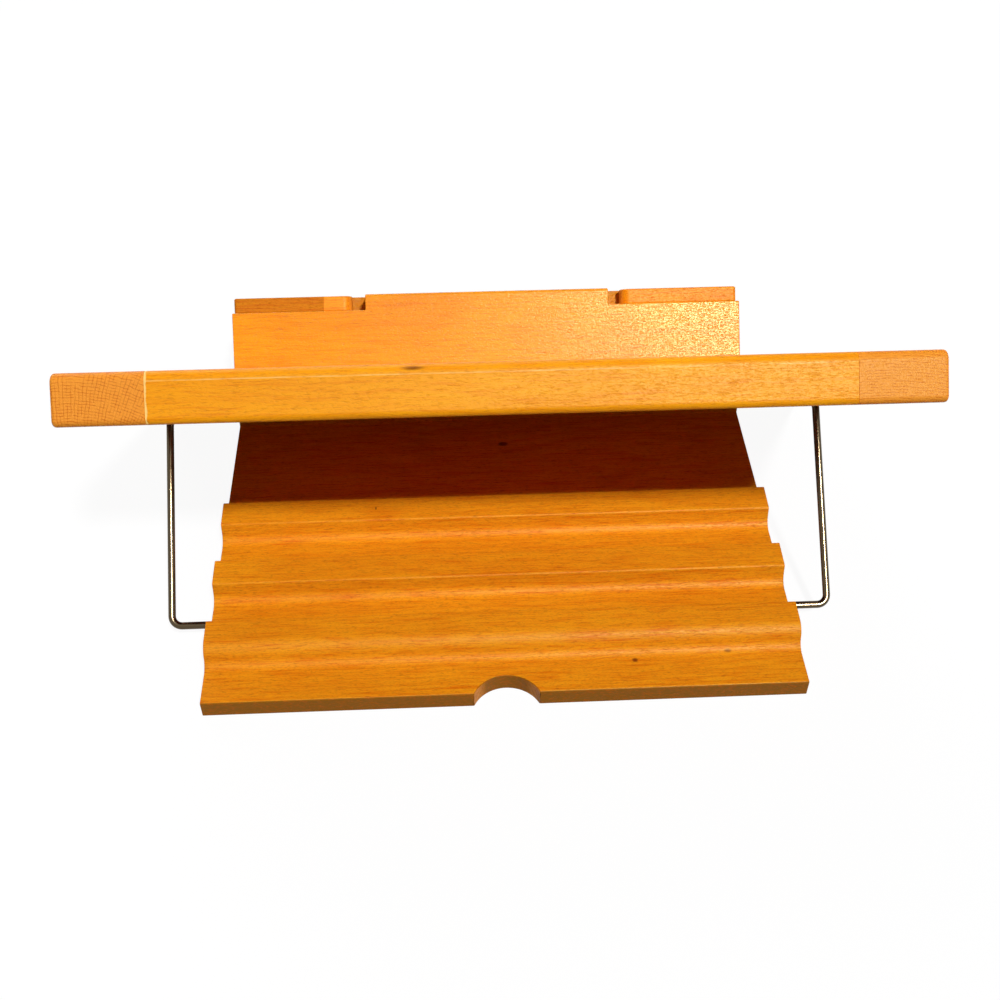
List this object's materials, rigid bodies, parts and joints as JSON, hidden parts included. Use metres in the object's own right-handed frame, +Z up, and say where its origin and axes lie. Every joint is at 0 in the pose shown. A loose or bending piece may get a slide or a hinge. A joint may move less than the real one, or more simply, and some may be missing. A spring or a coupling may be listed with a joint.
{
  "type": "folding bookstand",
  "caption": "Table-top folding bookstand: a framed beech panel with a ledge and page holders leans over a ratchet base board on a wire bail.",
  "frame": {"origin": "centre of the base board's underside, on the surface it stands on", "axes": "+X to the reader's right, +Y away from the reader, +Z up"},
  "size_m": [0.301, 0.2068, 0.1413],
  "materials": {
    "beech": "honey-stained beech, satin to gloss lacquer",
    "beech_stile": "honey-stained beech with the grain upright, end grain at top and bottom",
    "dowel": "bare beech dowel",
    "wire": "bright nickel-plated steel wire",
    "steel": "zinc-plated steel"
  },
  "bodies": {
    "base": {"base_board": "beech"},
    "panel": {"stile_left": "beech_stile", "stile_right": "beech_stile", "top_rail": "beech", "bottom_rail": "beech", "back_board": "beech", "dowel_top_left": "dowel", "dowel_top_right": "dowel", "dowel_bottom_left": "dowel", "dowel_bottom_right": "dowel", "hinge_pin_left": "steel", "hinge_pin_right": "steel", "ledge": "beech", "ledge_screw_1": "steel", "ledge_screw_2": "steel", "ledge_screw_3": "steel", "ledge_screw_4": "steel", "holder_screw_left": "steel", "holder_screw_right": "steel", "bail_saddle_left": "steel", "saddle_screw_left_lower": "steel", "saddle_screw_left_upper": "steel", "bail_saddle_right": "steel", "saddle_screw_right_lower": "steel", "saddle_screw_right_upper": "steel"},
    "bail": {"bail": "wire"},
    "page_holder_left": {"page_holder_left": "beech"},
    "page_holder_right": {"page_holder_right": "beech"}
  },
  "joints": [
    {"name": "panel_tilt", "type": "hinge", "parent": "base", "child": "panel", "pos_m": [0, -0.08095, 0.00875], "axis": [1, 0, 0], "range_deg": [0, 49.6]},
    {"name": "bail_swing", "type": "hinge", "parent": "panel", "child": "bail", "pos_m": [0, -0.01324, 0.06496], "axis": [1, 0, 0], "range_deg": [0, 80.7]},
    {"name": "page_holder_left_turn", "type": "hinge", "parent": "panel", "child": "page_holder_left", "pos_m": [-0.06735, -0.11222, 0.05212], "axis": [0, 0.6475, -0.7621], "range_deg": [0, 115]},
    {"name": "page_holder_right_turn", "type": "hinge", "parent": "panel", "child": "page_holder_right", "pos_m": [0.06735, -0.11222, 0.05212], "axis": [0, -0.6475, 0.7621], "range_deg": [0, 115]}
  ]
}
